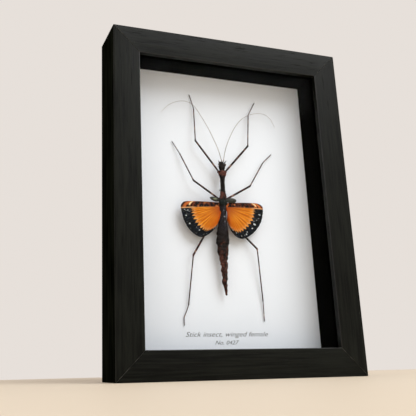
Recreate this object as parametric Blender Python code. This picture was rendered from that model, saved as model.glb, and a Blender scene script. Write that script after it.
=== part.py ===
"""A stick insect specimen, spread and pinned on a white board inside a deep black frame.

The frame stands on its bottom rail and faces -Y, with +X to the right and +Z up. The origin is the middle of
the underside of the bottom rail. Everything is in metres.
"""

from math import cos, pi, radians, sin

import bmesh
import bpy
from mathutils import Matrix, Vector

MM = 0.001

# Frame moulding
FRAME_WIDTH = 178 * MM
FRAME_HEIGHT = 240 * MM
FRAME_DEPTH = 34 * MM
RAIL_WIDTH = 19 * MM
LIP_THICKNESS = 4 * MM
RABBET_WIDTH = 6 * MM
RAIL_CHAMFER = 0.5 * MM
MITRE_GAP = 0.15 * MM
FRONT = -FRAME_DEPTH / 2
BACK = FRAME_DEPTH / 2

# Layers inside the frame, front to back
FIT_GAP = 0.3 * MM
GLASS_THICKNESS = 2 * MM
BOARD_FRONT = FRONT + 25 * MM
BOARD_THICKNESS = 3 * MM
PANEL_THICKNESS = 2.5 * MM
SHEET_PLAY = 0.5 * MM

# Hardware on the back
TAB_SIZE = (9 * MM, 0.4 * MM, 8 * MM)
HANGER_LENGTH = 46 * MM
HANGER_HEIGHT = 8 * MM
HANGER_THICKNESS = 0.8 * MM
HANGER_RISE = 1.4 * MM
HANGER_TEETH = 9
NAIL_HEAD_RADIUS = 1.7 * MM

# Specimen: its own x = 0 is the line of the body, and heights are above the board
INSECT_X = -3 * MM
BODY_HEIGHT = 6.2 * MM
BODY_SIDES = 14
LEG_SIDES = 8
ANTENNA_SIDES = 6
WING_HEIGHT = 6.4 * MM
WING_THICKNESS = 0.3 * MM
PIN_RADIUS = 0.3 * MM

BLACK_WOOD = ("black_wood", (0.012, 0.012, 0.011), 0.45, 0.0)
BLACK_LINER = ("black_liner", (0.006, 0.006, 0.005), 0.8, 0.0)
CLEAR_GLASS = ("clear_glass", (0.95, 0.97, 0.96), 0.02, 0.0)
WHITE_BOARD = ("white_board", (0.86, 0.87, 0.88), 0.85, 0.0)
BROWN_HARDBOARD = ("brown_hardboard", (0.17, 0.10, 0.055), 0.8, 0.0)
ZINC = ("zinc", (0.62, 0.62, 0.60), 0.35, 1.0)
DARK_CUTICLE = ("dark_cuticle", (0.045, 0.026, 0.018), 0.5, 0.0)
LEG_CUTICLE = ("leg_cuticle", (0.085, 0.040, 0.032), 0.5, 0.0)
ANTENNA_CUTICLE = ("antenna_cuticle", (0.25, 0.20, 0.17), 0.6, 0.0)
ORANGE_WING = ("orange_wing", (0.85, 0.30, 0.03), 0.6, 0.0)
GREEN_BROWN_WING = ("green_brown_wing", (0.10, 0.09, 0.05), 0.6, 0.0)


def clear_scene():
    for obj in list(bpy.data.objects):
        bpy.data.objects.remove(obj, do_unlink=True)


def material(spec):
    name, colour, roughness, metallic = spec
    found = bpy.data.materials.get(name)
    if found:
        return found
    made = bpy.data.materials.new(name)
    made.use_nodes = True
    shader = made.node_tree.nodes["Principled BSDF"]
    shader.inputs["Base Color"].default_value = (*colour, 1.0)
    shader.inputs["Roughness"].default_value = roughness
    shader.inputs["Metallic"].default_value = metallic
    return made


def add_object(name, bm, spec, sharp_angle=35):
    """The bmesh as a named object, its faces pointing out and its round surfaces shaded smooth."""
    bmesh.ops.recalc_face_normals(bm, faces=bm.faces)
    mesh = bpy.data.meshes.new(name)
    bm.to_mesh(mesh)
    bm.free()
    mesh.shade_smooth()
    mesh.set_sharp_from_angle(angle=radians(sharp_angle))
    mesh.materials.append(material(spec))
    obj = bpy.data.objects.new(name, mesh)
    bpy.context.scene.collection.objects.link(obj)
    return obj


def add_box(name, low, high, spec):
    bm = bmesh.new()
    size = Vector(high) - Vector(low)
    middle = (Vector(high) + Vector(low)) / 2
    bmesh.ops.create_cube(bm, size=1, matrix=Matrix.Translation(middle) @ Matrix.Diagonal((*size, 1)))
    return add_object(name, bm, spec)


def join_rings(bm, rings):
    """Skins closed rings of vertices one to the next, and caps the first and the last."""
    for ring, following in zip(rings, rings[1:]):
        count = len(ring)
        for i in range(count):
            j = (i + 1) % count
            bm.faces.new((ring[i], ring[j], following[j], following[i]))
    bm.faces.new(rings[0])
    bm.faces.new(rings[-1])


def smooth_path(points, steps):
    """Points on a Catmull-Rom curve through the given points, steps to each span."""
    knots = [Vector(p) for p in points]
    padded = [2 * knots[0] - knots[1], *knots, 2 * knots[-1] - knots[-2]]
    path = []
    for a, b, c, d in zip(padded, padded[1:], padded[2:], padded[3:]):
        for k in range(steps):
            t = k / steps
            path.append(
                0.5 * (2 * b + (c - a) * t + (2 * a - 5 * b + 4 * c - d) * t**2 + (3 * b - a - 3 * c + d) * t**3)
            )
    return [*path, knots[-1]]


def on_board(x, z, height):
    """A point of the specimen: x and z in millimetres across the board, and its height above the board."""
    return Vector((INSECT_X + x * MM, BOARD_FRONT - height * MM, z * MM))


# Frame

def rail_profile():
    """Half section of the moulding as (distance in from the outer edge, depth from the front)."""
    c = RAIL_CHAMFER
    wall = RAIL_WIDTH - RABBET_WIDTH
    return [
        (0, c),
        (c, 0),
        (RAIL_WIDTH - c, 0),
        (RAIL_WIDTH, c),
        (RAIL_WIDTH, LIP_THICKNESS),
        (wall, LIP_THICKNESS),
        (wall, FRAME_DEPTH),
        (c, FRAME_DEPTH),
        (0, FRAME_DEPTH - c),
    ]


def add_rail(name, length, middle, turn):
    """One length of moulding with mitred ends, its outer edge along local X and its inside towards local +Z."""
    bm = bmesh.new()
    ends = []
    for side in (-1, 1):
        ring = []
        for inward, depth in rail_profile():
            reach = length / 2 - inward - MITRE_GAP
            ring.append(bm.verts.new((side * reach, depth, inward)))
        ends.append(ring)
    join_rings(bm, ends)
    rail = add_object(name, bm, BLACK_WOOD)
    rail.location = middle
    rail.rotation_euler = (0, radians(turn), 0)


def add_frame():
    half, mid = FRAME_WIDTH / 2, FRAME_HEIGHT / 2
    add_rail("rail_bottom", FRAME_WIDTH, (0, FRONT, 0), 0)
    add_rail("rail_left", FRAME_HEIGHT, (-half, FRONT, mid), 90)
    add_rail("rail_top", FRAME_WIDTH, (0, FRONT, FRAME_HEIGHT), 180)
    add_rail("rail_right", FRAME_HEIGHT, (half, FRONT, mid), -90)


# Glazing, liner, board and back

def sheet_box(name, front, thickness, spec):
    """A flat sheet that fills the rabbet from side to side."""
    inset = RAIL_WIDTH - RABBET_WIDTH + SHEET_PLAY
    low = (-FRAME_WIDTH / 2 + inset, front, inset)
    high = (FRAME_WIDTH / 2 - inset, front + thickness, FRAME_HEIGHT - inset)
    return add_box(name, low, high, spec)


def add_liner(front, back):
    """Four black strips that line the box between the glass and the board."""
    outer = RAIL_WIDTH - RABBET_WIDTH + SHEET_PLAY
    inner = RAIL_WIDTH
    half = FRAME_WIDTH / 2
    top = FRAME_HEIGHT
    end = outer + FIT_GAP
    strips = {
        "liner_bottom": ((-half + end, outer), (half - end, inner)),
        "liner_top": ((-half + end, top - inner), (half - end, top - outer)),
        "liner_left": ((-half + outer, inner + FIT_GAP), (-half + inner, top - inner - FIT_GAP)),
        "liner_right": ((half - inner, inner + FIT_GAP), (half - outer, top - inner - FIT_GAP)),
    }
    for name, (low, high) in strips.items():
        add_box(name, (low[0], front, low[1]), (high[0], back, high[1]), BLACK_LINER)


def drill(obj, x, z):
    """A hole through a sheet for one pin, with the fitting gap all round it."""
    bm = bmesh.new()
    turn = Matrix.Rotation(pi / 2, 4, "X")
    place = Matrix.Translation(on_board(x, z, -BOARD_THICKNESS / MM / 2))
    radius = PIN_RADIUS + FIT_GAP
    bmesh.ops.create_cone(
        bm, cap_ends=True, segments=12, radius1=radius, radius2=radius, depth=3 * BOARD_THICKNESS, matrix=place @ turn
    )
    cutter = add_object(obj.name + "_cutter", bm, WHITE_BOARD)
    cutter.hide_render = True
    cutter.display_type = "WIRE"
    cut = obj.modifiers.new("pin_hole", "BOOLEAN")
    cut.operation = "DIFFERENCE"
    cut.object = cutter


def add_tabs(front):
    """Six bent steel points, pushed into the moulding, that keep the back panel in."""
    width, thickness, reach = TAB_SIZE
    wall = RAIL_WIDTH - RABBET_WIDTH + FIT_GAP
    half, top = FRAME_WIDTH / 2, FRAME_HEIGHT
    places = [(0, wall + reach / 2, False), (0, top - wall - reach / 2, False)]
    for x in (-half + wall + reach / 2, half - wall - reach / 2):
        for z in (0.3 * top, 0.7 * top):
            places.append((x, z, True))
    for number, (x, z, on_side) in enumerate(places, 1):
        across, along = (reach, width) if on_side else (width, reach)
        low = (x - across / 2, front, z - along / 2)
        high = (x + across / 2, front + thickness, z + along / 2)
        add_box(f"back_tab_{number}", low, high, ZINC)


def add_hanger():
    """A toothed steel strip nailed flat across the back of the top rail, its middle standing off the wood."""
    bm = bmesh.new()
    half = HANGER_LENGTH / 2
    flat_end, ramp = 8 * MM, 3 * MM
    top = FRAME_HEIGHT - 2.5 * MM
    tooth_run = HANGER_LENGTH - 2 * (flat_end + ramp)
    tooth_depth = 1.5 * MM
    stations = [-half, -half + flat_end, -half + flat_end + ramp]
    stations += [-tooth_run / 2 + tooth_run * k / (2 * HANGER_TEETH) for k in range(1, 2 * HANGER_TEETH)]
    stations += [half - flat_end - ramp, half - flat_end, half]
    rings = []
    for index, x in enumerate(stations):
        raised = abs(x) < half - flat_end - 0.1 * MM
        back = BACK + FIT_GAP + (HANGER_RISE if raised else 0)
        notched = abs(x) < tooth_run / 2 - 0.1 * MM and index % 2 == 1
        low = top - HANGER_HEIGHT + (tooth_depth if notched else 0)
        corners = [(back, low), (back, top), (back + HANGER_THICKNESS, top), (back + HANGER_THICKNESS, low)]
        rings.append([bm.verts.new((x, y, z)) for y, z in corners])
    join_rings(bm, rings)
    add_object("hanger", bm, ZINC)
    nail_depth = BACK + 2 * FIT_GAP + HANGER_THICKNESS
    for side, x in (("left", -half + flat_end / 2), ("right", half - flat_end / 2)):
        add_nail(f"hanger_nail_{side}", (x, nail_depth, top - HANGER_HEIGHT / 2))


def add_nail(name, centre):
    """The low domed head of a small nail."""
    bm = bmesh.new()
    dome = [(1.0, 0.0), (1.0, 0.25), (0.75, 0.5), (0.4, 0.62)]
    rings = []
    for spread, rise in dome:
        ring = []
        for i in range(12):
            turn = 2 * pi * i / 12
            radius = spread * NAIL_HEAD_RADIUS
            place = (radius * cos(turn), rise * NAIL_HEAD_RADIUS, radius * sin(turn))
            ring.append(bm.verts.new(Vector(centre) + Vector(place)))
        rings.append(ring)
    join_rings(bm, rings)
    add_object(name, bm, ZINC)


# Specimen

# Body stations from the front of the head to the tip of the abdomen, in millimetres:
# z, sideways offset of the middle, width, thickness
BODY = [
    (152.0, 0.8, 1.8, 1.6),
    (151.2, 0.8, 3.4, 2.8),
    (149.6, 0.8, 4.3, 3.4),
    (147.6, 0.8, 4.5, 3.6),
    (146.2, 0.8, 4.2, 3.4),
    (145.3, 0.8, 3.5, 3.0),
    (144.6, 0.8, 4.8, 3.4),
    (143.2, 0.8, 5.6, 3.9),
    (141.6, 0.7, 5.2, 3.8),
    (140.6, 0.6, 4.0, 3.3),
    (139.4, 0.6, 3.4, 3.1),
    (136.0, 0.5, 3.3, 3.2),
    (131.0, 0.4, 3.5, 3.3),
    (126.5, 0.3, 4.4, 3.7),
    (123.5, 0.1, 5.8, 4.3),
    (121.0, 0.0, 6.0, 4.4),
    (118.0, 0.0, 5.4, 4.2),
    (114.0, 0.0, 4.8, 3.9),
    (110.0, -0.2, 5.4, 4.0),
    (106.2, -0.4, 6.4, 4.2),
    (105.6, -0.4, 6.2, 4.1),
    (101.0, -0.6, 8.0, 4.6),
    (97.2, -0.8, 8.8, 4.9),
    (96.6, -0.8, 8.4, 4.7),
    (92.0, -1.1, 9.4, 5.0),
    (90.2, -1.2, 8.6, 4.8),
    (87.6, -1.3, 8.3, 4.8),
    (83.2, -1.5, 7.4, 4.4),
    (82.4, -1.4, 5.8, 4.0),
    (78.2, -1.4, 5.3, 3.7),
    (75.6, -1.1, 4.2, 3.3),
    (71.0, -0.9, 3.8, 3.0),
    (70.2, -0.9, 3.5, 2.8),
    (66.4, -1.0, 3.5, 2.7),
    (62.6, -1.1, 3.1, 2.3),
    (60.9, -0.9, 2.3, 1.8),
    (57.0, -0.8, 1.7, 1.3),
    (55.4, -0.8, 1.1, 0.9),
]
EYE_OFFSET, EYE_Z, EYE_RADIUS = 2.0, 149.2, 0.85
HORN_OFFSET, HORN_Z = 1.5, 151.0
BODY_TAIL_DROP = 2.0


def body_height(z):
    """The body's middle sinks a little towards the tip of the abdomen."""
    tail = max(0.0, min(1.0, (110 - z) / 55))
    return BODY_HEIGHT / MM - BODY_TAIL_DROP * tail


def body_middle(z):
    """Sideways offset of the body's middle at a height up the board, in millimetres."""
    for (za, xa, _, _), (zb, xb, _, _) in zip(BODY, BODY[1:]):
        if zb <= z <= za:
            return xb + (xa - xb) * (z - zb) / (za - zb)
    return 0.0


def add_body():
    bm = bmesh.new()
    rings = []
    for z, x, width, thickness in BODY:
        centre = on_board(x, z, body_height(z))
        ring = []
        for i in range(BODY_SIDES):
            turn = 2 * pi * i / BODY_SIDES
            ring.append(
                bm.verts.new(centre + Vector((width / 2 * MM * cos(turn), -thickness / 2 * MM * sin(turn), 0)))
            )
        rings.append(ring)
    join_rings(bm, rings)
    body = add_object("body", bm, DARK_CUTICLE, sharp_angle=50)
    for side in (-1, 1):
        middle = body_middle(EYE_Z)
        eye = on_board(middle + side * EYE_OFFSET, EYE_Z, body_height(EYE_Z) + 0.5)
        fuse(body, ball(f"eye_{side}", eye, EYE_RADIUS * MM))
        horn = on_board(middle + side * HORN_OFFSET, HORN_Z, body_height(HORN_Z) + 0.9)
        fuse(body, spike(f"horn_{side}", horn, Vector((side * 0.5, -0.4, 0.9)), 0.45 * MM, 1.7 * MM))


def hide(obj):
    obj.hide_render = True
    obj.display_type = "WIRE"
    return obj


def ball(name, centre, radius):
    bm = bmesh.new()
    bmesh.ops.create_uvsphere(bm, u_segments=10, v_segments=7, radius=radius, matrix=Matrix.Translation(centre))
    return hide(add_object(name, bm, DARK_CUTICLE))


def spike(name, foot, direction, radius, length):
    """A small cone that stands on its foot point and leans the given way."""
    bm = bmesh.new()
    turn = direction.normalized().to_track_quat("Z", "Y").to_matrix().to_4x4()
    place = Matrix.Translation(foot) @ turn
    bmesh.ops.create_cone(
        bm, cap_ends=True, segments=6, radius1=radius, radius2=radius * 0.2, depth=length, matrix=place
    )
    return hide(add_object(name, bm, DARK_CUTICLE))


def fuse(obj, other):
    join = obj.modifiers.new("join_" + other.name, "BOOLEAN")
    join.operation = "UNION"
    join.object = other


def add_limb(name, path, radii, sides, spec):
    """A tapering tube along a path. Each ring stands square to the mean of the two spans that it joins."""
    bm = bmesh.new()
    spans = [(b - a).normalized() for a, b in zip(path, path[1:])]
    heading = [spans[0], *[(a + b).normalized() for a, b in zip(spans, spans[1:])], spans[-1]]
    rings = []
    for point, ahead, radius in zip(path, heading, radii):
        side = ahead.cross(Vector((0, 1, 0))).normalized()
        out = side.cross(ahead).normalized()
        ring = []
        for i in range(sides):
            turn = 2 * pi * i / sides
            ring.append(bm.verts.new(point + radius * (cos(turn) * side + sin(turn) * out)))
        rings.append(ring)
    join_rings(bm, rings)
    add_object(name, bm, spec, sharp_angle=60)


# Leg points in millimetres: x, z and height above the board, from hip to claw, then which points are the
# knee and the ankle
LEGS = {
    "front_leg_left": ([(-2.8, 143.6, 5.8), (-18.9, 166.6, 5.4), (-18.6, 193.2, 2.2), (-21.1, 204.6, 0.7)], 1, 2),
    "front_leg_right": ([(4.4, 143.6, 5.8), (22.6, 166.2, 5.4), (26.4, 192.7, 2.2), (33.0, 204.0, 0.7)], 1, 2),
    "middle_leg_left": ([(-3.2, 124.9, 5.0), (-23.1, 136.8, 6.2), (-31.2, 157.0, 2.4), (-35.9, 166.0, 0.7)], 1, 2),
    "middle_leg_right": ([(3.3, 124.6, 5.0), (21.8, 135.6, 6.2), (36.0, 155.3, 2.4), (44.2, 162.8, 0.7)], 1, 2),
    "hind_leg_left": (
        [(-3.4, 117.4, 3.4), (-15.8, 95.8, 3.6), (-24.5, 82.6, 4.6), (-28.2, 48.4, 1.4), (-31.5, 40.3, 0.7),
         (-31.4, 35.2, 0.7)],
        2, 3,
    ),
    "hind_leg_right": (
        [(3.4, 117.0, 3.4), (16.0, 97.9, 3.6), (25.0, 88.6, 4.6), (28.5, 51.5, 1.4), (28.9, 38.0, 0.7)],
        2, 3,
    ),
}
COXA_RADIUS, FEMUR_RADIUS, TIBIA_RADIUS, TARSUS_RADIUS = 0.8, 0.55, 0.36, 0.28


def leg_stations(points, knee, ankle):
    """Points and radii down a leg: a short stout hip, a long thigh, a swollen knee, a thin shin and the foot."""
    path, radii = [], []
    for k, (start, end) in enumerate(zip(points, points[1:])):
        start, end = Vector(start), Vector(end)
        thick = FEMUR_RADIUS if k < knee else TIBIA_RADIUS if k < ankle else TARSUS_RADIUS
        swell = 1.4 if k in (knee, ankle) else 1.0
        stations = [(0.0, thick * swell), (0.08, thick), (0.5, thick * 1.05), (0.93, thick * 0.95)]
        if k == 0:
            stations[:2] = [(0.0, COXA_RADIUS), (0.04, COXA_RADIUS), (0.075, thick)]
        for share, radius in stations:
            path.append(start.lerp(end, share))
            radii.append(radius)
    path.append(Vector(points[-1]))
    radii.append(TARSUS_RADIUS * 0.9)
    return path, radii


def add_legs():
    for name, (points, knee, ankle) in LEGS.items():
        path, radii = leg_stations(points, knee, ankle)
        add_limb(name, [on_board(*p) for p in path], [r * MM for r in radii], LEG_SIDES, LEG_CUTICLE)


# Antenna route in millimetres: x, z and height above the board
ANTENNAE = {
    "antenna_left": [
        (0.0, 152.5, 6.4), (-2.3, 161.6, 6.0), (-5.4, 170.4, 5.0), (-8.6, 177.8, 4.5), (-13.8, 187.2, 4.0),
        (-18.4, 194.0, 3.8), (-23.0, 197.2, 3.6), (-29.7, 197.6, 3.2), (-36.2, 195.1, 3.0), (-40.5, 191.9, 2.8),
        (-44.1, 187.9, 2.6),
    ],
    "antenna_right": [
        (1.6, 152.5, 6.4), (3.2, 159.5, 6.0), (5.9, 166.4, 5.0), (9.3, 173.5, 4.5), (13.6, 180.9, 4.2),
        (19.1, 187.4, 3.8), (25.4, 191.7, 3.6), (32.4, 194.2, 3.4), (39.3, 194.4, 3.2), (44.6, 191.2, 3.0),
        (48.2, 184.6, 2.8),
    ],
}
ANTENNA_ROOT_RADIUS, ANTENNA_TIP_RADIUS = 0.28, 0.14


def add_antennae():
    for name, route in ANTENNAE.items():
        path = smooth_path([on_board(*p) for p in route], 3)
        last = len(path) - 1
        radii = []
        for k in range(last + 1):
            radii.append((ANTENNA_ROOT_RADIUS + (ANTENNA_TIP_RADIUS - ANTENNA_ROOT_RADIUS) * k / last) * MM)
        add_limb(name, path, radii, ANTENNA_SIDES, ANTENNA_CUTICLE)


# Outer margin of each hindwing in millimetres from the body line, from the wing tip round to the inner corner
WINGS = {
    "hindwing_left": [
        (-28.0, 120.5), (-31.4, 119.4), (-32.9, 117.0), (-32.5, 113.6), (-30.9, 106.6), (-27.4, 100.6),
        (-22.6, 96.6), (-18.6, 95.2), (-14.6, 96.4), (-9.7, 99.8), (-6.0, 104.0), (-3.7, 110.0),
    ],
    "hindwing_right": [
        (25.6, 122.2), (29.4, 121.4), (31.2, 119.2), (30.9, 115.0), (28.9, 108.3), (24.3, 101.9),
        (18.6, 97.4), (13.2, 95.3), (8.8, 96.4), (5.4, 100.2), (4.3, 104.6), (3.5, 110.0),
    ],
}
WING_ROOT_X = 3.4
WING_ROOT_HIGH, WING_ROOT_LOW = 120.7, 117.0
RAYS_PER_SPAN = 2
WING_STEPS = 6
WING_PLEAT = 0.14
WING_CAMBER = 1.1


def wing_height(share, ray):
    """Height above the board in millimetres: the wing lifts from its root, droops at the rim, and is pleated."""
    lift = WING_CAMBER * sin(pi * 0.85 * share)
    pleat = WING_PLEAT * share * (1 if ray % 2 else -1)
    return WING_HEIGHT / MM + lift + pleat - 1.2 * share**2


def add_wing(name, margin):
    """A pleated fan of thin membrane between the root and the outer margin, closed all round."""
    side = -1 if margin[0][0] < 0 else 1
    rim = smooth_path([(x, z, 0) for x, z in margin], RAYS_PER_SPAN)
    last = len(rim) - 1
    bm = bmesh.new()
    grid = {}
    for ray, end in enumerate(rim):
        root_z = WING_ROOT_HIGH + (WING_ROOT_LOW - WING_ROOT_HIGH) * ray / last
        root = Vector((side * WING_ROOT_X, root_z, 0))
        for step in range(WING_STEPS + 1):
            share = step / WING_STEPS
            place = root.lerp(end, share)
            height = wing_height(share, ray)
            grid[0, ray, step] = bm.verts.new(on_board(place.x, place.y, height))
            grid[1, ray, step] = bm.verts.new(on_board(place.x, place.y, height - WING_THICKNESS / MM))
    for layer in (0, 1):
        for ray in range(last):
            for step in range(WING_STEPS):
                corners = [(ray, step), (ray + 1, step), (ray + 1, step + 1), (ray, step + 1)]
                bm.faces.new([grid[layer, r, s] for r, s in corners])
    border = [(0, s) for s in range(WING_STEPS)]
    border += [(r, WING_STEPS) for r in range(last)]
    border += [(last, s) for s in range(WING_STEPS, 0, -1)]
    border += [(r, 0) for r in range(last, 0, -1)]
    for a, b in zip(border, [*border[1:], border[0]]):
        bm.faces.new((grid[0, *a], grid[0, *b], grid[1, *b], grid[1, *a]))
    add_object(name, bm, ORANGE_WING, sharp_angle=80)


# Small leathery forewings: x and z of the middle, half length, half width and turn in degrees
FOREWINGS = {
    "forewing_left": (-7.4, 122.9, 3.9, 1.6, -5),
    "forewing_right": (7.3, 123.2, 3.9, 1.6, 5),
}
FOREWING_HEIGHT = 8.6
FOREWING_THICKNESS = 0.4


def add_forewings():
    for name, (x, z, half_length, half_width, turn) in FOREWINGS.items():
        bm = bmesh.new()
        spin = radians(turn)
        shells = []
        for layer, drop in ((0, 0.0), (1, FOREWING_THICKNESS)):
            rings = []
            for share in (0.34, 0.7, 1.0):
                ring = []
                for i in range(16):
                    around = 2 * pi * i / 16
                    along = share * half_length * cos(around)
                    across = share * half_width * sin(around)
                    height = FOREWING_HEIGHT - 0.9 * share**2 - drop
                    ring.append(
                        bm.verts.new(
                            on_board(
                                x + along * cos(spin) - across * sin(spin),
                                z + along * sin(spin) + across * cos(spin),
                                height,
                            )
                        )
                    )
                rings.append(ring)
            shells.append(rings)
        for rings in shells:
            for ring, following in zip(rings, rings[1:]):
                for i in range(16):
                    j = (i + 1) % 16
                    bm.faces.new((ring[i], ring[j], following[j], following[i]))
            bm.faces.new(rings[0])
        for i in range(16):
            j = (i + 1) % 16
            bm.faces.new((shells[0][-1][i], shells[0][-1][j], shells[1][-1][j], shells[1][-1][i]))
        add_object(name, bm, GREEN_BROWN_WING, sharp_angle=60)


# Pins under the body: x, z and the half thickness of the body there, in millimetres
PINS = {"pin_thorax": (0.45, 132.0, 1.65), "pin_abdomen": (-0.8, 97.5, 2.45)}


def add_pins(board):
    """Steel pins, cut short, that hold the body off the board."""
    for name, (x, z, half_body) in PINS.items():
        top = body_height(z) - half_body - FIT_GAP / MM
        foot = -(BOARD_THICKNESS / MM) + 0.4
        path = [on_board(x, z, top), on_board(x, z, (top + foot) / 2), on_board(x, z, foot)]
        add_pin(name, path)
        drill(board, x, z)


def add_pin(name, path):
    bm = bmesh.new()
    rings = []
    for point in path:
        ring = []
        for i in range(8):
            turn = 2 * pi * i / 8
            ring.append(bm.verts.new(point + Vector((PIN_RADIUS * cos(turn), 0, PIN_RADIUS * sin(turn)))))
        rings.append(ring)
    join_rings(bm, rings)
    add_object(name, bm, ZINC)


def main():
    clear_scene()
    add_frame()
    glass_front = FRONT + LIP_THICKNESS + FIT_GAP
    glass_back = glass_front + GLASS_THICKNESS
    panel_front = BOARD_FRONT + BOARD_THICKNESS + FIT_GAP
    sheet_box("glass", glass_front, GLASS_THICKNESS, CLEAR_GLASS)
    add_liner(glass_back + FIT_GAP, BOARD_FRONT - FIT_GAP)
    board = sheet_box("mount_board", BOARD_FRONT, BOARD_THICKNESS, WHITE_BOARD)
    sheet_box("back_panel", panel_front, PANEL_THICKNESS, BROWN_HARDBOARD)
    add_tabs(panel_front + PANEL_THICKNESS + FIT_GAP)
    add_hanger()
    add_body()
    add_legs()
    add_antennae()
    for name, outline in WINGS.items():
        add_wing(name, outline)
    add_forewings()
    add_pins(board)


main()
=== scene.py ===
from math import cos, exp, pi, radians, sin

import bmesh
import bpy
from mathutils import Matrix, Vector, noise


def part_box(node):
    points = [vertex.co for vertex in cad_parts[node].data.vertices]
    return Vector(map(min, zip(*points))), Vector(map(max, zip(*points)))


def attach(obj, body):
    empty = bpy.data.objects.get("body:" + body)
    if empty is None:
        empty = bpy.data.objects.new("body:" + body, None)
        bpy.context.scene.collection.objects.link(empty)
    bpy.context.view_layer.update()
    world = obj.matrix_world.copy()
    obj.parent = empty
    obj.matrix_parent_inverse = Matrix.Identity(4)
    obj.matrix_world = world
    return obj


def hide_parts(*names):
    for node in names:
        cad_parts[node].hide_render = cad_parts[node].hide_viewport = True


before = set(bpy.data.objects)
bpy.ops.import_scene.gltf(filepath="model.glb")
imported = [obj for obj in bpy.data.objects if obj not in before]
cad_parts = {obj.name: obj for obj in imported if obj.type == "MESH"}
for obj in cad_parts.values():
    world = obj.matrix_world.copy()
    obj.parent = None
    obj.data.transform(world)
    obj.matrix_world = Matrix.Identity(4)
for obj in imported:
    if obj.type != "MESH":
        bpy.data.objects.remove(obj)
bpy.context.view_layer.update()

# Camera
# It stands low in front of the frame's left side and looks up at it, as the photographer did. The lens is
# shifted so that the uprights keep the slant that they have in the photograph.

camera = bpy.data.objects.new("camera", bpy.data.cameras.new("camera"))
bpy.context.scene.collection.objects.link(camera)
view_right = Vector((0.95152, -0.30694, -0.01979))
view_up = Vector((-0.06468, -0.26259, 0.96274))
view_back = Vector((-0.30071, -0.91479, -0.26971))
camera_place = (-0.1904, -0.3897, 0.0100)
camera_turn = Matrix((view_right, view_up, view_back)).transposed().to_4x4()
camera.matrix_world = Matrix.Translation(camera_place) @ camera_turn
camera.data.lens = 53.76
camera.data.sensor_width = 36
camera.data.shift_x = 0.15
camera.data.shift_y = -0.04
camera.data.clip_start = 0.01
bpy.context.scene.camera = camera

# Studio
# A pale cream table top that ends a hand's span behind the frame, a pale room round it, one large soft
# lamp high up in front and to the right, and a very weak one lower down on the left.

mm = 0.001


class Wire:
    """A socket in a node tree. Arithmetic on it adds Math nodes, and node() adds a node of any other kind."""

    def __init__(self, tree, socket=None):
        self.tree = tree
        self.socket = socket

    def node(self, kind, sockets=None, output=0, **settings):
        made = self.tree.nodes.new(kind)
        for setting, value in settings.items():
            setattr(made, setting, value)
        for key, value in (sockets or {}).items():
            if isinstance(value, Wire):
                self.tree.links.new(value.socket, made.inputs[key])
            else:
                made.inputs[key].default_value = value
        return Wire(self.tree, made.outputs[output])

    def twin(self, output):
        """Another output of the same node."""
        return Wire(self.tree, self.socket.node.outputs[output])

    def math(self, operation, *values):
        return self.node("ShaderNodeMath", dict(enumerate(values)), operation=operation)

    def __add__(self, other):
        return self.math("ADD", self, other)

    __radd__ = __add__

    def __sub__(self, other):
        return self.math("SUBTRACT", self, other)

    def __rsub__(self, other):
        return self.math("SUBTRACT", other, self)

    def __mul__(self, other):
        return self.math("MULTIPLY", self, other)

    __rmul__ = __mul__

    def __pow__(self, other):
        return self.math("POWER", self, other)

    def step(self, low, high):
        """0 below low, 1 above high and a smooth rise between them. Swapped limits make it fall."""
        if low > high:
            return 1 - self.step(high, low)
        sockets = {0: self, 1: low, 2: high}
        return self.node("ShaderNodeMapRange", sockets, interpolation_type="SMOOTHSTEP")

    def tint(self, low, high):
        """A colour that goes from low to high as this value goes from 0 to 1."""
        return self.node("ShaderNodeMix", {0: self, 6: low, 7: high}, output=2, data_type="RGBA")

    def clouds(self, place, scale, detail=3.0, roughness=0.5, stretch=None):
        """Noise of so many lumps to the metre, drawn out along the axes where stretch is small."""
        if stretch:
            place = self.node("ShaderNodeMapping", {"Vector": place, "Scale": stretch})
        sockets = {"Vector": place, "Scale": scale, "Detail": detail, "Roughness": roughness}
        return self.node("ShaderNodeTexNoise", sockets, output="Fac")

    def cells(self, place, scale=1.0, output="Distance", **sockets):
        """Scattered points, so many to the metre: the distance to the nearest, or its colour."""
        return self.node("ShaderNodeTexVoronoi", {"Vector": place, "Scale": scale, **sockets}, output=output)

    def point(self, x, y, z):
        return self.node("ShaderNodeCombineXYZ", {0: x, 1: y, 2: z})


def rgb(*screen):
    """A colour from the 0 to 255 values that a screen shows."""
    return (*(((c / 255 + 0.055) / 1.055) ** 2.4 if c > 10 else c / 255 / 12.92 for c in screen), 1.0)


def start_finish(name, **constants):
    """A new material with its constant sockets set, and what its patterns are built from."""
    made = bpy.data.materials.new(name)
    made.use_nodes = True
    shader = made.node_tree.nodes["Principled BSDF"]
    for socket, value in constants.items():
        shader.inputs[socket.replace("_", " ")].default_value = value
    tree = Wire(made.node_tree)
    return made, tree, tree.node("ShaderNodeTexCoord", output="Object")


def end_finish(made, colour, roughness, height=None, relief=0.0):
    """Feeds the shader its colour and roughness, and a bump of a height map that is as tall as the relief."""
    shader = made.node_tree.nodes["Principled BSDF"]
    made.node_tree.links.new(colour.socket, shader.inputs["Base Color"])
    made.node_tree.links.new(roughness.socket, shader.inputs["Roughness"])
    if height:
        bump = height.node("ShaderNodeBump", {"Height": height, "Distance": relief, "Strength": 1.0})
        made.node_tree.links.new(bump.socket, shader.inputs["Normal"])
    return made


def make_table_finish():
    made, tree, place = start_finish("table_paint")
    broad = tree.clouds(place, 3, 2)
    fine = tree.clouds(place, 900, 2)
    colour = (broad * 0.7 + fine * 0.3).tint(rgb(202, 187, 166), rgb(215, 201, 181))
    return end_finish(made, colour, fine * 0.1 + 0.55, fine, 0.03 * mm)


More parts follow.
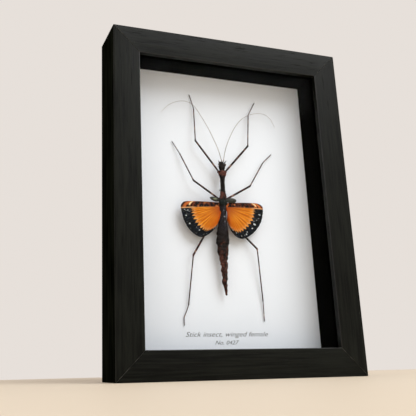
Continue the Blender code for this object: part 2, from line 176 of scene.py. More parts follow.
def join_rings(bm, rings, capped=True):
    """Skins a tube from ring to ring, closes its ends if it is capped, and returns its faces."""
    faces = []
    for ring, following in zip(rings, rings[1:]):
        for i in range(len(ring)):
            j = (i + 1) % len(ring)
            faces.append(bm.faces.new((ring[i], ring[j], following[j], following[i])))
    if capped:
        faces += [bm.faces.new(rings[0]), bm.faces.new(rings[-1])]
    return faces


def place_mesh(name, mesh, sharp_angle):
    """The mesh as an object at the origin, smooth but for its edges past the sharp angle in degrees."""
    mesh.shade_smooth()
    mesh.set_sharp_from_angle(angle=radians(sharp_angle))
    obj = bpy.data.objects.new(name, mesh)
    bpy.context.scene.collection.objects.link(obj)
    return obj


def add_mesh(name, bm, finishes, sharp_angle=30):
    """The bmesh as an object whose faces all point out."""
    bmesh.ops.recalc_face_normals(bm, faces=bm.faces)
    mesh = bpy.data.meshes.new(name)
    bm.to_mesh(mesh)
    bm.free()
    for made in finishes:
        mesh.materials.append(made)
    return place_mesh(name, mesh, sharp_angle)


bm = bmesh.new()
table_corners = [(-1.3, -1.6), (1.3, -1.6), (1.3, 0.2), (-1.3, 0.2)]
table_thickness = 0.03
join_rings(bm, [[bm.verts.new((x, y, z)) for x, y in table_corners] for z in (0, -table_thickness)])
table = add_mesh("table_top", bm, [make_table_finish()])

room = bpy.data.worlds.new("pale_room")
room.use_nodes = True
room.node_tree.nodes["Background"].inputs["Color"].default_value = rgb(236, 229, 223)
room.node_tree.nodes["Background"].inputs["Strength"].default_value = 0.95
bpy.context.scene.world = room
bpy.context.scene.view_settings.view_transform = "Standard"


def add_lamp(name, place, aim, size, power, colour):
    lamp = bpy.data.lights.new(name, "AREA")
    lamp.shape = "DISK"
    lamp.size = size
    lamp.energy = power
    lamp.color = colour
    obj = bpy.data.objects.new(name, lamp)
    obj.location = place
    obj.rotation_euler = (Vector(place) - Vector(aim)).to_track_quat("Z", "Y").to_euler()
    bpy.context.scene.collection.objects.link(obj)


frame_middle = (0, 0, 0.12)
add_lamp("key_lamp", (0.52, -0.86, 1.2), frame_middle, 1.3, 19.5, (0.955, 0.98, 1.0))
add_lamp("left_lamp", (-0.95, -0.85, 0.55), frame_middle, 0.7, 0.8, (0.94, 0.97, 1.0))

# Rails
# Four lengths of square-edged wooden moulding, mitred and glued at the corners and stained black: satin in
# front, matt at the sides, rubbed to a shine along the inner edge and at the mitres, whose lighter grey is
# wear and a painted highlight. A rabbet behind the front lip takes the glass and all that lies behind it.

frame_width, frame_height, frame_depth = 178 * mm, 240 * mm, 34 * mm
frame_front = -frame_depth / 2
rail_width, rabbet_wall, lip_depth = 19 * mm, 13 * mm, 4 * mm


def rounded(outline, radii, steps=4):
    """The closed outline of 2-D points with each corner turned into a small arc."""
    path = []
    count = len(outline)
    for i, radius in enumerate(radii):
        before, here, after = (Vector(outline[(i + k) % count]) for k in (-1, 0, 1))
        start = here + (before - here).normalized() * radius
        end = here + (after - here).normalized() * radius
        for k in range(steps + 1):
            t = k / steps
            path.append(start * (1 - t) ** 2 + here * 2 * t * (1 - t) + end * t**2)
    return path


def make_black_wood(name, stretch, sheen):
    """Black stain on fine straight grain. The grain runs along the axis whose stretch is small."""
    made, tree, place = start_finish(name, Specular_IOR_Level=sheen)
    fibre = tree.clouds(place, 1, 4, 0.6, stretch)
    pores = tree.clouds(place, 2.4, 3, 0.55, stretch).step(0.60, 0.72)
    cloudy = tree.clouds(place, 22, 3)
    streak = (fibre * 0.8 + cloudy * 0.3).step(0.42, 0.68)
    colour = (streak - pores * 0.5).tint(rgb(2, 3, 1), rgb(18, 20, 15))
    dust = tree.clouds(place, 2600, 1).step(0.80, 0.86)
    colour = (dust * 0.2).tint(colour, rgb(105, 104, 100))
    roughness = 0.27 + fibre * 0.26 + cloudy * 0.06 + pores * 0.14
    return end_finish(made, colour, roughness, fibre * 0.8 - pores * 0.8, 0.16 * mm)


def make_edge_wear_and_highlight_finish(name, sheen, low, high):
    """A stained edge that has been rubbed to a shine, more in some spots than in others. On the mitres its
    lighter grey is also a painted highlight.
    """
    made, tree, place = start_finish(name, Specular_IOR_Level=sheen)
    wear_and_highlight = tree.clouds(place, 240, 4, 0.6)
    colour = wear_and_highlight.step(0.4, 0.7).tint(low, high)
    return end_finish(made, colour, wear_and_highlight * 0.2 + 0.22, wear_and_highlight, 0.02 * mm)


along_grain, over_grain = 26, 760
satin_sheen, matt_sheen = 0.10, 0.0
grains = {"across": (along_grain, over_grain, over_grain), "upright": (over_grain, over_grain, along_grain)}
woods = {}
for lie, stretch in grains.items():
    woods[lie] = [
        make_black_wood(f"satin_black_{lie}", stretch, satin_sheen),
        make_black_wood(f"matt_black_{lie}", stretch, matt_sheen),
    ]
edge_wear_and_highlight_finishes = [
    make_edge_wear_and_highlight_finish("rubbed_inner_edge", 0.35, rgb(10, 10, 8), rgb(24, 24, 21)),
    # The mitres' lighter grey is wear and a painted highlight.
    make_edge_wear_and_highlight_finish("mitre_wear_and_painted_highlight", 0.7, rgb(44, 44, 40), rgb(94, 93, 88)),
]

rail_outline = [
    (0, 0), (rail_width, 0), (rail_width, lip_depth),
    (rabbet_wall, lip_depth), (rabbet_wall, frame_depth), (0, frame_depth),
]
rail_radii = [0.7 * mm, 0.5 * mm, 0.3 * mm, 0.3 * mm, 0.4 * mm, 0.6 * mm]


def add_rail(node, length, foot, turn, made):
    """A mitred rail. The last quarter millimetre at each end is eased and coloured a lighter grey, which is
    wear and a painted highlight, so that the joint shows as a line.
    """
    section = rounded(rail_outline, rail_radii)
    middle = Vector((rail_width / 2, frame_depth / 2))
    full_gap, eased_gap, easing = 0.26 * mm, 0.03 * mm, 0.014
    bm = bmesh.new()
    rings = []
    for side, eased in ((-1, True), (-1, False), (1, False), (1, True)):
        ring = []
        for point in section:
            spot = point.lerp(middle, easing) if eased else point
            reach = length / 2 - spot.x - (eased_gap if eased else full_gap)
            ring.append(bm.verts.new((side * reach, spot.y, spot.x)))
        rings.append(ring)
    satin, matt, rubbed, wear_and_highlight = range(4)
    for n, face in enumerate(join_rings(bm, rings)[:-2]):
        stretch, i = divmod(n, len(section))
        inner_edge, outer_side = 5 <= i <= 8, i == len(section) - 1
        along_rail = rubbed if inner_edge else matt if outer_side else satin
        # The mitre ends take the finish whose lighter grey is wear and a painted highlight.
        face.material_index = along_rail if stretch == 1 else wear_and_highlight
    long_edges = [e for e in bm.edges if abs(e.verts[0].co.x - e.verts[1].co.x) > length / 2]
    bmesh.ops.subdivide_edges(bm, edges=long_edges, cuts=15)
    place = Matrix.Translation(foot) @ Matrix.Rotation(radians(turn), 4, "Y")
    bmesh.ops.transform(bm, matrix=place, verts=bm.verts)
    rail = add_mesh(node + "_moulding", bm, [*made, *edge_wear_and_highlight_finishes], 35)
    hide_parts(node)
    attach(rail, "root")


add_rail("rail_bottom", frame_width, (0, frame_front, 0), 0, woods["across"])
add_rail("rail_top", frame_width, (0, frame_front, frame_height), 180, woods["across"])
add_rail("rail_left", frame_height, (-frame_width / 2, frame_front, frame_height / 2), 90, woods["upright"])
add_rail("rail_right", frame_height, (frame_width / 2, frame_front, frame_height / 2), -90, woods["upright"])

# Glass
# One pane of thin picture glass with a faint anti-reflection coat, its edges ground, held between the lip
# of the rails and the black liner. It is nearly invisible from the front.


def make_pane_finish():
    made = bpy.data.materials.new("picture_glass")
    made.use_nodes = True
    made.node_tree.nodes.remove(made.node_tree.nodes["Principled BSDF"])
    tree = Wire(made.node_tree)
    clear = tree.node("ShaderNodeBsdfTransparent", {"Color": (0.985, 0.99, 0.985, 1)})
    shine = tree.node("ShaderNodeBsdfGlossy", {"Color": (0.95, 0.97, 1.0, 1), "Roughness": 0.03})
    amount = tree.node("ShaderNodeFresnel", {"IOR": 1.05})
    pane = tree.node("ShaderNodeMixShader", {0: amount, 1: clear, 2: shine})
    made.node_tree.links.new(pane.socket, made.node_tree.nodes["Material Output"].inputs["Surface"])
    return made


def add_pane():
    low, high = (Vector(corner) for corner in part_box("glass"))
    edge = 0.3 * mm
    bm = bmesh.new()
    rings = []
    for y, inset in ((low.y, edge), (low.y + edge, 0), (high.y - edge, 0), (high.y, edge)):
        left, right, bottom, top = low.x + inset, high.x - inset, low.z + inset, high.z - inset
        corners = ((left, bottom), (right, bottom), (right, top), (left, top))
        rings.append([bm.verts.new((x, y, z)) for x, z in corners])
    join_rings(bm, rings)
    pane = add_mesh("glass_pane", bm, [make_pane_finish()])
    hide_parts("glass")
    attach(pane, "root")


add_pane()

# Liner
# Four strips of dense black card stand between the glass and the board, flush with the opening, and make
# the walls of the box. They soak up nearly all the light.


def make_liner_finish():
    made, tree, place = start_finish("black_card", Specular_IOR_Level=0.0)
    fibre = tree.clouds(place, 1500, 4, 0.65)
    soft = tree.clouds(place, 60, 2)
    colour = (fibre * 0.6 + soft * 0.4).tint(rgb(3, 3, 2), rgb(9, 9, 7))
    return end_finish(made, colour, fibre * 0.15 + 0.75, fibre, 0.04 * mm)


def paint(node, finish):
    """Gives a solid of the frame its finish."""
    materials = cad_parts[node].data.materials
    materials.clear()
    materials.append(finish)


liner_finish = make_liner_finish()
for strip in ("liner_bottom", "liner_top", "liner_left", "liner_right"):
    paint(strip, liner_finish)

# Board
# A sheet of bright white mount board with a fine tooth. The specimen is fixed in front of it, and two short
# lines of small slanted grey lettering are printed under the specimen.


def make_board_finish():
    made, tree, place = start_finish("white_mount_board", Specular_IOR_Level=0.2)
    tooth = tree.clouds(place, 2600, 3, 0.6)
    felt = tree.clouds(place, 420, 3, 0.5)
    fleck = tree.clouds(place, 1300, 1).step(0.76, 0.82)
    colour = (tooth * 0.5 + felt * 0.5).tint(rgb(231, 237, 248), rgb(242, 246, 255))
    colour = (fleck * 0.25).tint(colour, rgb(205, 210, 212))
    return end_finish(made, colour, tooth * 0.1 + 0.8, tooth * 0.5 + felt * 0.5, 0.03 * mm)


def make_ink_finish():
    made, tree, place = start_finish("grey_ink", Specular_IOR_Level=0.2)
    patchy = tree.clouds(place, 5000, 2)
    colour = patchy.step(0.3, 0.75).tint(rgb(34, 35, 38), rgb(66, 67, 71))
    return end_finish(made, colour, patchy * 0.1 + 0.7)


paint("mount_board", make_board_finish())
board_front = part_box("mount_board")[0][1]
ink = make_ink_finish()


def add_print(name, words, middle, base, width, cap):
    """A line of slanted lettering, so wide and with capitals so high, as a skin of ink on the board."""
    words_curve = bpy.data.curves.new(name, "FONT")
    words_curve.body = words
    words_curve.shear = 0.35
    words_curve.offset = -0.006
    words_curve.extrude = 0.01
    words_curve.resolution_u = 3
    typed = bpy.data.objects.new(name, words_curve)
    bpy.context.scene.collection.objects.link(typed)
    bpy.context.view_layer.update()
    mesh = bpy.data.meshes.new_from_object(typed.evaluated_get(bpy.context.evaluated_depsgraph_get()))
    bpy.data.objects.remove(typed)
    xs = [v.co.x for v in mesh.vertices]
    typed_middle = (max(xs) + min(xs)) / 2
    typed_cap = 0.72
    wide = width / (max(xs) - min(xs))
    tall = cap / typed_cap
    stand_off, joined_below = 0.03 * mm, 0.004 * mm
    bm = bmesh.new()
    bm.from_mesh(mesh)
    bpy.data.meshes.remove(mesh)
    for v in bm.verts:
        x = middle + (v.co.x - typed_middle) * wide
        v.co = (x, board_front - stand_off - v.co.z * mm, base + v.co.y * tall)
    bmesh.ops.remove_doubles(bm, verts=bm.verts, dist=joined_below)
    bmesh.ops.dissolve_degenerate(bm, edges=bm.edges, dist=joined_below)
    line = add_mesh(name, bm, [ink])
    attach(line, "root")


add_print("label_line_upper", "Stick insect, winged female", -2.6 * mm, 27.9 * mm, 61.7 * mm, 3.3 * mm)
add_print("label_line_lower", "No. 0427", -3.3 * mm, 22.6 * mm, 17.7 * mm, 2.7 * mm)

# Insect's body
# The dried head, thorax and abdomen of a winged female stick insect: horny skin, dark brown with rusty
# patches and a slate bloom, in telescoped rings with a low keel and a lumpy tail. Eyes, horns, jaws and
# round hips have grown on it. It is glued to two pins.

insect_x = -3 * mm


def on_board(x, z, height):
    """A point of the insect: x and z in millimetres across the board, and its height above the board."""
    return Vector((insect_x + x * mm, board_front - height * mm, z * mm))


# Each ring: how far up the board, sideways, width and thickness in millimetres, from the head to the tail
body_rings = [
    (151.5, 0, 1.8, 1.5), (151.2, 0, 3, 2.3), (150.5, 0, 4, 3), (149.4, 0, 4.5, 3.4),
    (148.2, 0, 4.7, 3.6), (147, 0, 4.6, 3.6), (146.1, 0, 4.3, 3.4), (145.6, 0, 3.5, 3),
    (145.2, 0, 3.3, 2.9), (144.9, 0, 4.9, 3.4), (144.2, 0, 5.6, 3.8), (142.9, 0.05, 6, 4.1),
    (141.8, 0, 5.8, 4), (141, 0, 5, 3.7), (140.6, -0.1, 3.7, 3.2), (140.2, -0.1, 4, 3.3),
    (139.2, -0.1, 3.4, 3.1), (136, -0.2, 3.1, 3.2), (133, -0.25, 3.1, 3.2), (130, -0.3, 3.3, 3.3),
    (127.5, -0.4, 3.9, 3.5), (125.6, -0.45, 4.7, 3.9), (124.2, -0.5, 5.6, 4.2), (123.3, -0.6, 6.2, 4.3),
    (122.9, -0.6, 5.7, 4.1), (122.4, -0.6, 6.5, 4.4), (121, -0.74, 6.9, 4.6), (119.9, -0.89, 6.3, 4.5),
    (118.6, -1.11, 5.2, 4.2), (118.2, -1.14, 4.7, 3.9), (117.8, -1.18, 5, 4), (114.2, -1.35, 4.7, 3.9),
    (113.7, -1.37, 4.2, 3.6), (113.3, -1.38, 4.7, 3.8), (110.2, -1.59, 5.1, 4), (106.4, -1.69, 6.6, 4.3),
    (105.9, -1.7, 5.9, 4), (105.5, -1.71, 6.5, 4.2), (101, -1.92, 8.2, 4.7), (97.4, -2.19, 9.1, 5),
    (96.9, -2.18, 8.2, 4.6), (96.4, -2.17, 8.7, 4.8), (93.8, -2.22, 9.4, 5), (91.6, -2.27, 9.8, 5.1),
    (90.7, -2.35, 8.8, 4.8), (90.2, -2.34, 8.2, 4.5), (89.6, -2.33, 8.5, 4.7), (86.6, -2.26, 8.3, 4.8),
    (83.6, -2.17, 7.9, 4.6), (82.9, -2.1, 6.6, 4.1), (82.5, -1.99, 5.6, 3.7), (82, -1.98, 5.9, 3.9),
    (79, -1.9, 5.5, 3.7), (76.6, -1.79, 5.06, 3.5), (75.9, -1.71, 4.21, 3.1), (75.3, -1.73, 4.54, 3.2),
    (71.3, -1.76, 4.38, 3), (70.6, -1.76, 3.7, 2.6), (70, -1.77, 4.09, 2.8), (66.4, -1.8, 3.95, 2.7),
    (63, -1.6, 3.58, 2.4), (61.6, -1.36, 2.83, 1.9), (60.9, -1.19, 2.4, 1.6), (59.4, -1.05, 2.12, 1.5),
    (57, -0.99, 1.86, 1.3), (55.8, -0.88, 1.53, 1.1), (55.4, -0.88, 1.02, 0.7),
]
body_sides = 64
keel_top, flank_top = 141, 118


def rise(value, low, high):
    """How far the value has come on its way from low to high, from 0 to 1."""
    return max(0.0, min(1.0, (value - low) / (high - low)))


def body_lift(z):
    """Height of the body's middle above the board, in millimetres. It sinks towards the tail."""
    return 6.2 - 2.0 * rise(z, 110, 55)


def bulge(distance, reach):
    """A bell curve: 1 at no distance, and nearly 0 beyond twice its reach."""
    return exp(-((distance / reach) ** 2))


def make_body_finish():
    """Dark horny skin: rusty behind the head, at the thorax's end and down the tail, slate on the abdomen,
    with painted highlights as pale specks along its keel.
    """
    made, tree, place = start_finish("body_cuticle", Specular_IOR_Level=0.14)
    parts = tree.node("ShaderNodeSeparateXYZ", {0: place})
    up = parts.twin(2) * 1000
    aside = parts.math("ABSOLUTE", parts * 1000 + 3.8)
    mottle = tree.clouds(place, 1500, 4, 0.7)
    broad = tree.clouds(place, 260, 4, 0.62)
    blotches = tree.clouds(place, 700, 3)
    front_plate = up.step(140.4, 141.6) * up.step(145.2, 144.6)
    thorax_end = up.step(122.6, 124.4) * up.step(129.5, 127.5)
    tail = up.step(98, 88) * 0.36 + up.step(85, 78) * 0.18
    rusty_parts = front_plate * 0.74 + thorax_end * 0.68 + tail
    rust = (broad * 0.55 + blotches * 0.45 + (rusty_parts - 0.45) * 0.34).step(0.45, 0.58)
    slate_parts = up.step(97, 104) * up.step(120, 117)
    colour = rust.tint(rgb(24, 16, 14), rgb(98, 56, 46))
    colour = (slate_parts * blotches.step(0.36, 0.60) * 0.7).tint(colour, rgb(38, 35, 44))
    colour = (up.step(118, 119.5) * up.step(123.2, 122.2) * 0.85).tint(colour, rgb(16, 28, 23))
    colour = (mottle.step(0.42, 0.68) * 0.75).tint(colour, rgb(8, 5, 5))
    # Pale specks along the keel of the abdomen: painted highlights.
    painted_glint_cells = tree.cells(place, 560)
    painted_glint_mask = slate_parts * aside.step(1.3, 0.3) * 0.75
    colour = (painted_glint_cells.step(0.32, 0.16) * painted_glint_mask).tint(colour, rgb(176, 178, 190))
    grains = tree.cells(place, 3000)
    return end_finish(made, colour, 0.38 + mottle * 0.3, mottle * 0.6 + grains * 0.5, 0.14 * mm)


body_finish = make_body_finish()


def body_stations():
    """The body's rings with more between them: evenly spaced, and easing from each ring to the next."""
    spacing = 0.3
    stations = []
    for here, after in zip(body_rings, body_rings[1:]):
        count = max(1, round((here[0] - after[0]) / spacing))
        for k in range(count):
            t = k / count
            eased = t * t * (3 - 2 * t)
            z = here[0] + (after[0] - here[0]) * t
            stations.append((z, *(a + (b - a) * eased for a, b in zip(here[1:], after[1:]))))
    return [*stations, body_rings[-1]]


def add_body():
    """The horny tube with its keel, a ridge on each flank, and a skin that is lumpier towards the tail."""
    bm = bmesh.new()
    rings = []
    for z, x, width, thickness in body_stations():
        ring = []
        lumps = 0.3 + 0.45 * rise(z, 98, 86)
        for i in range(body_sides):
            turn = 2 * pi * i / body_sides
            keel = 0.10 * bulge(turn - pi / 2, 0.16) if z < keel_top else 0
            flank = 0.05 * bulge(abs(turn - pi / 2) - 1.05, 0.12) if z < flank_top else 0
            flat_belly = 0.06 * max(0.0, -sin(turn))
            swell = 1 + keel + flank - flat_belly
            aside, up = width / 2 * cos(turn) * swell, thickness / 2 * sin(turn) * swell
            spot = on_board(x + aside, z, body_lift(z) + up)
            out = Vector((cos(turn), -sin(turn), 0))
            rough = noise.noise(spot / mm * 0.45) * lumps + noise.noise(spot / mm * 2.0) * 0.24
            rough += noise.noise(spot / mm * 5.5) * 0.08
            ring.append(bm.verts.new(spot + out * rough * mm * min(1.0, width / 4)))
        rings.append(ring)
    join_rings(bm, rings, capped=False)
    end_bulge = Vector((0, 0, 0.25 * mm))
    for ring, beyond in ((rings[0], end_bulge), (rings[-1], -end_bulge)):
        tip = bm.verts.new(sum((v.co for v in ring), Vector()) / body_sides + beyond)
        for i in range(body_sides):
            bm.faces.new((ring[i], ring[(i + 1) % body_sides], tip))
    body = add_mesh("insect_body", bm, [body_finish], 60)
    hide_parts("body")
    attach(body, "root")


add_body()


def add_ball(bm, middle, half_sizes, tilt, finish_index):
    """A ball stretched to three half sizes and tilted in the plane of the board."""
    place = Matrix.Translation(middle) @ Matrix.Rotation(tilt, 4, "Y") @ Matrix.Diagonal((*half_sizes, 1))
    made = bmesh.ops.create_uvsphere(bm, u_segments=32, v_segments=20, radius=1, matrix=place)
    for face in {f for v in made["verts"] for f in v.link_faces}:
        face.material_index = finish_index


def round_ring(bm, centre, side, out, radius, sides, ridges=0.0):
    """A ring of corners about a centre, in the plane of two directions, with four ridges if it has any."""
    ring = []
    for i in range(sides):
        turn = 2 * pi * i / sides
        reach = radius * (1 + ridges * cos(4 * turn))
        ring.append(bm.verts.new(centre + reach * (cos(turn) * side + sin(turn) * out)))
    return ring


def add_horn(bm, foot, tip, radius):
    """A curved cone from foot to tip."""
    ahead = (tip - foot).normalized()
    side = ahead.cross(Vector((0, 1, 0.2))).normalized()
    out = side.cross(ahead).normalized()
    steps, bend, tip_radius = 6, 0.12 * (tip - foot).length, 0.03 * mm
    rings = []
    for k in range(steps + 1):
        t = k / steps
        centre = foot.lerp(tip, t) + side * bend * sin(pi * t)
        rings.append(round_ring(bm, centre, side, out, radius * (1 - t) ** 0.8 + tip_radius, 10))
    join_rings(bm, rings)


def make_eye_finish():
    made, tree, place = start_finish("eye_lens", Specular_IOR_Level=0.6)
    facets = tree.cells(place, 9000)
    band = tree.clouds(place, 1500, 2)
    colour = band.step(0.4, 0.65).tint(rgb(24, 16, 12), rgb(82, 54, 34))
    return end_finish(made, colour, facets * 0.2 + 0.15, facets, 0.03 * mm)


# On either side, in millimetres: how far out, shift to the right, how far up the board, height above it, half
# sizes, tilt, and 1 for an eye's finish. The rows are eye, feeler base, jaw, and front, middle and hind hip.
balls = [
    (2.3, 0, 149.3, 6.9, (0.8, 0.8, 1.0), 0.25, 1), (0.62, 0, 151.2, 6.7, (0.5, 0.55, 0.6), 0, 0),
    (0.6, 0, 151.3, 5.3, (0.65, 0.7, 0.8), 0.4, 0), (2.6, 0.05, 143.9, 5.6, (1.05, 1.1, 1.0), 0.6, 0),
    (2.9, -0.5, 123.6, 5.0, (1.3, 1.2, 1.0), 0.5, 0), (2.2, -0.7, 118.9, 4.2, (1.2, 1.1, 1.1), -0.6, 0),
]
# How far out, how far up, height, the way to the tip, and the foot's radius. The rows are horn, cheek, mouth
# feeler and shoulder.
horns = [
    (1.6, 150.2, 7.6, (1.7, -0.6, 2.0), 0.5), (1.7, 147.9, 5.4, (1.2, 0.2, 0.6), 0.3),
    (0.9, 151.0, 4.9, (0.8, 0.3, 1.5), 0.3), (2.5, 143.2, 7.0, (0.9, -0.4, 0.4), 0.34),
]


def add_head_parts():
    """Bulging eyes, jaws, mouth feelers and horns on the head, and the six round hips along the thorax."""
    bm = bmesh.new()
    for side in (-1, 1):
        for out, shift, z, height, half_sizes, tilt, finish_index in balls:
            middle = on_board(side * out + shift, z, height)
            add_ball(bm, middle, [half * mm for half in half_sizes], side * tilt, finish_index)
        for out, z, height, (aside, back, up), radius in horns:
            foot = on_board(side * out, z, height)
            add_horn(bm, foot, foot + Vector((side * aside, back, up)) * mm, radius * mm)
    parts = add_mesh("insect_head_parts", bm, [body_finish, make_eye_finish()], 60)
    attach(parts, "root")


add_head_parts()

# Wings
# Each hindwing is a stiff narrow band along the front edge and a pleated fan behind it: orange, with a deep
# black border that is serrated where it meets the orange and dusted with white specks. A vein runs down
# every fold.

wing_roots = {"left": -3.1, "right": 1.5}
band_rays, fan_rays, wing_steps = 14, 108, 56
wing_folds, fold_depth, wing_thickness = 18, 0.13, 0.09
root_height, arch, droop, scallop = 6.55, 1.1, 1.2, 0.16
band_share = band_rays / (band_rays + fan_rays)
# Outer margin in millimetres from the line of the body: round the tip first, then down the fan to the
# inner corner
wing_margins = {
    "left": (
        [(-28.0, 120.55), (-30.2, 120.1), (-31.8, 119.0), (-32.8, 117.4), (-33.0, 115.4)],
        [(-33.0, 115.4), (-32.3, 112.0), (-30.9, 106.6), (-27.4, 100.6), (-22.6, 96.6), (-18.6, 95.2),
         (-14.6, 96.4), (-9.7, 99.8), (-6.0, 104.0), (-3.4, 109.0)],
    ),
    "right": (
        [(25.6, 122.15), (28.0, 121.8), (29.8, 120.9), (31.0, 119.6), (31.2, 118.0)],
        [(31.2, 118.0), (30.8, 114.6), (28.9, 108.3), (24.3, 101.9), (18.6, 97.4), (13.2, 95.3),
         (8.6, 96.6), (5.0, 100.2), (3.0, 104.6), (1.8, 109.0)],
    ),
}


def along(points, share):
    """The point at a share of the way through evenly spaced knots of a smooth curve."""
    knots = [Vector(p) for p in points]
    knots = [2 * knots[0] - knots[1], *knots, 2 * knots[-1] - knots[-2]]
    span = min(int(share * (len(points) - 1)), len(points) - 2)
    t = share * (len(points) - 1) - span
    a, b, c, d = knots[span : span + 4]
    return 0.5 * (2 * b + (c - a) * t + (2 * a - 5 * b + 4 * c - d) * t**2 + (3 * b - a - 3 * c + d) * t**3)


def add_hindwing(side, made):
    """A thin pleated shell. U runs from the front edge round the fan, and V from the root to the margin."""
    tip_margin, fan_margin = wing_margins[side]
    sign = -1 if side == "left" else 1
    bm = bmesh.new()
    uv = bm.loops.layers.uv.new("UVMap")
    grid, place = {}, {}
    rays = band_rays + fan_rays
    for ray in range(rays + 1):
        in_band = ray <= band_rays
        share = ray / band_rays if in_band else (ray - band_rays) / fan_rays
        root_z = 120.7 - 3.0 * share if in_band else 117.7 - 1.6 * share
        end = along(tip_margin if in_band else fan_margin, share)
        fold = cos(2 * pi * wing_folds * share) if not in_band else 0.4 * cos(pi * 3 * share)
        if not in_band:
            middle = Vector((wing_roots[side], 117.0))
            end = end + (end - middle).normalized() * scallop * (abs(cos(pi * wing_folds * share)) - 0.5)
        root = Vector((wing_roots[side], root_z))
        for step in range(wing_steps + 1):
            v = step / wing_steps
            spot = root.lerp(end, v)
            sag = Vector((end.y - root.y, root.x - end.x)).normalized() * sign * sin(pi * v)
            spot += sag * 0.25 * (1 - share if not in_band else 0)
            height = root_height + arch * sin(pi * 0.85 * v) - droop * v * v
            height += fold_depth * fold * min(1.0, v * 1.6)
            height += 0.10 * noise.noise(Vector((ray * 0.11, v * 5, sign)))
            for layer, drop in ((0, 0.0), (1, wing_thickness)):
                grid[layer, ray, step] = bm.verts.new(on_board(spot.x, spot.y, height - drop))
            place[ray, step] = (ray / rays, v)
    for ray in range(rays):
        for step in range(wing_steps):
            corners = [(ray, step), (ray + 1, step), (ray + 1, step + 1), (ray, step + 1)]
            for layer in (0, 1):
                face = bm.faces.new([grid[layer, r, s] for r, s in corners])
                for loop, corner in zip(face.loops, corners):
                    loop[uv].uv = place[corner]
    border = [(0, s) for s in range(wing_steps)]
    border += [(r, wing_steps) for r in range(rays)]
    border += [(rays, s) for s in range(wing_steps, 0, -1)]
    border += [(r, 0) for r in range(rays, 0, -1)]
    for a, b in zip(border, [*border[1:], border[0]]):
        face = bm.faces.new((grid[0, *a], grid[0, *b], grid[1, *b], grid[1, *a]))
        for loop, corner in zip(face.loops, (a, b, b, a)):
            loop[uv].uv = place[corner]
    wing = add_mesh(f"hindwing_{side}_membrane", bm, [made], 70)
    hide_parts(f"hindwing_{side}")
    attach(wing, "root")


def make_wing_finish(name, seed):
    """Orange fan, black border and mottled front band. U runs across the rays and V out from the root."""
    made, tree, place = start_finish(name, Specular_IOR_Level=0.10)
    across = tree.node("ShaderNodeUVMap", uv_map="UVMap")
    parts = tree.node("ShaderNodeSeparateXYZ", {0: across})
    u, v = parts, parts.twin(1)
    fan = (u - band_share) * (1 / (1 - band_share))
    wave = (fan * wing_folds).math("FRACT", fan * wing_folds)
    ridge = wave.math("ABSOLUTE", wave - 0.5) * 2
    wobble = tree.clouds(place, 700, 2, 0.6)

    streaks = tree.clouds(tree.point(u * 260, v * 5, seed), 1)
    orange = streaks.step(0.3, 0.7).tint(rgb(204, 112, 12), rgb(226, 140, 30))
    rays = tree.clouds(tree.point(u * 42, v * 1.6, seed + 2), 1, 1)
    orange = (rays.step(0.46, 0.62) * v.step(0.05, 0.3) * 0.7).tint(orange, rgb(182, 86, 10))
    orange = (rays.step(0.44, 0.34) * 0.5).tint(orange, rgb(240, 164, 50))
    orange = (fan.step(0.35, 1.0) * 0.75).tint(orange, rgb(190, 74, 16))
    orange = (v.step(0.42, 0.02) * 0.8).tint(orange, rgb(150, 52, 24))
    vein = ridge.step(0.74, 0.97) * (1 - v * 0.4)
    orange = (vein * 0.8).tint(orange, rgb(126, 52, 14))

    blue = tree.clouds(place, 420, 3).step(0.4, 0.7)
    border = blue.tint(rgb(10, 12, 12), rgb(16, 23, 34))
    border = (ridge.step(0.75, 0.95) * 0.2).tint(border, rgb(58, 64, 68))
    dots = tree.cells(tree.point(fan * 34, v * 17, seed), Randomness=0.8)
    chance = tree.node("ShaderNodeSeparateColor", {0: dots.twin("Color")})
    row = v.step(0.80, 0.84) * v.step(0.95, 0.91)
    speck = dots.step(0.36, 0.24) * chance.step(0.56, 0.59) * (row * 0.9 + 0.1)
    border = speck.tint(border, rgb(226, 232, 238))

    edge = 0.685 + fan * 0.06 + (fan**6) * 0.27 + (1 - ridge) * 0.085 + (wobble - 0.5) * 0.02
    in_border = (v - edge).step(-0.006, 0.006)
    orange = ((v - edge).step(-0.09, -0.01) * 0.45).tint(orange, rgb(236, 178, 112))
    fan_colour = in_border.tint(orange, border)

    band = u * (1 / band_share)
    blotch = tree.clouds(tree.point(band * 1.6, v * 15, seed + 4), 1)
    tip = v.step(0.66, 0.86)
    rusty = (blotch + tip * 0.2 + v.step(0.16, 0.02) * 0.14).step(0.62, 0.67)
    fringe = (blotch + tip * 0.1).step(0.47, 0.58)
    band_colour = fringe.tint(rgb(16, 11, 9), rgb(98, 44, 22))
    band_colour = rusty.tint(band_colour, rgb(190, 100, 46))
    band_colour = (v.step(0.90, 0.97) * 0.7).tint(band_colour, rgb(26, 16, 14))
    band_colour = (blotch.step(0.60, 0.70) * (1 - tip) * 0.5).tint(band_colour, rgb(150, 128, 84))
    spot_x = (v - 0.80) * 34
    spot_y = (band - 0.42) * 2.4
    spot = (spot_x * spot_x + spot_y * spot_y).step(1.0, 0.5)
    band_colour = spot.tint(band_colour, rgb(240, 214, 160))
    band_colour = (band.step(0.12, 0.06) * 0.9).tint(band_colour, rgb(112, 52, 36))
    colour = (fan * 60).step(-0.4, 0.4).tint(band_colour, fan_colour)
    seam = (u - band_share).math("ABSOLUTE", u - band_share).step(0.011, 0.006) * v.step(0.10, 0.2)
    colour = (seam * (v.step(0.62, 0.74) * 0.55 + 0.12)).tint(colour, rgb(232, 176, 124))

    cells = tree.cells(tree.point(fan * wing_folds, v * 44, 0.0))
    roughness = 0.42 + streaks * 0.2 + in_border * 0.05
    height = ridge.step(0.78, 0.95) * 0.8 + cells * 0.25 + streaks * 0.2
    return end_finish(made, colour, roughness, height, 0.08 * mm)


add_hindwing("left", make_wing_finish("left_hindwing_membrane", 3.0))
add_hindwing("right", make_wing_finish("right_hindwing_membrane", 9.0))

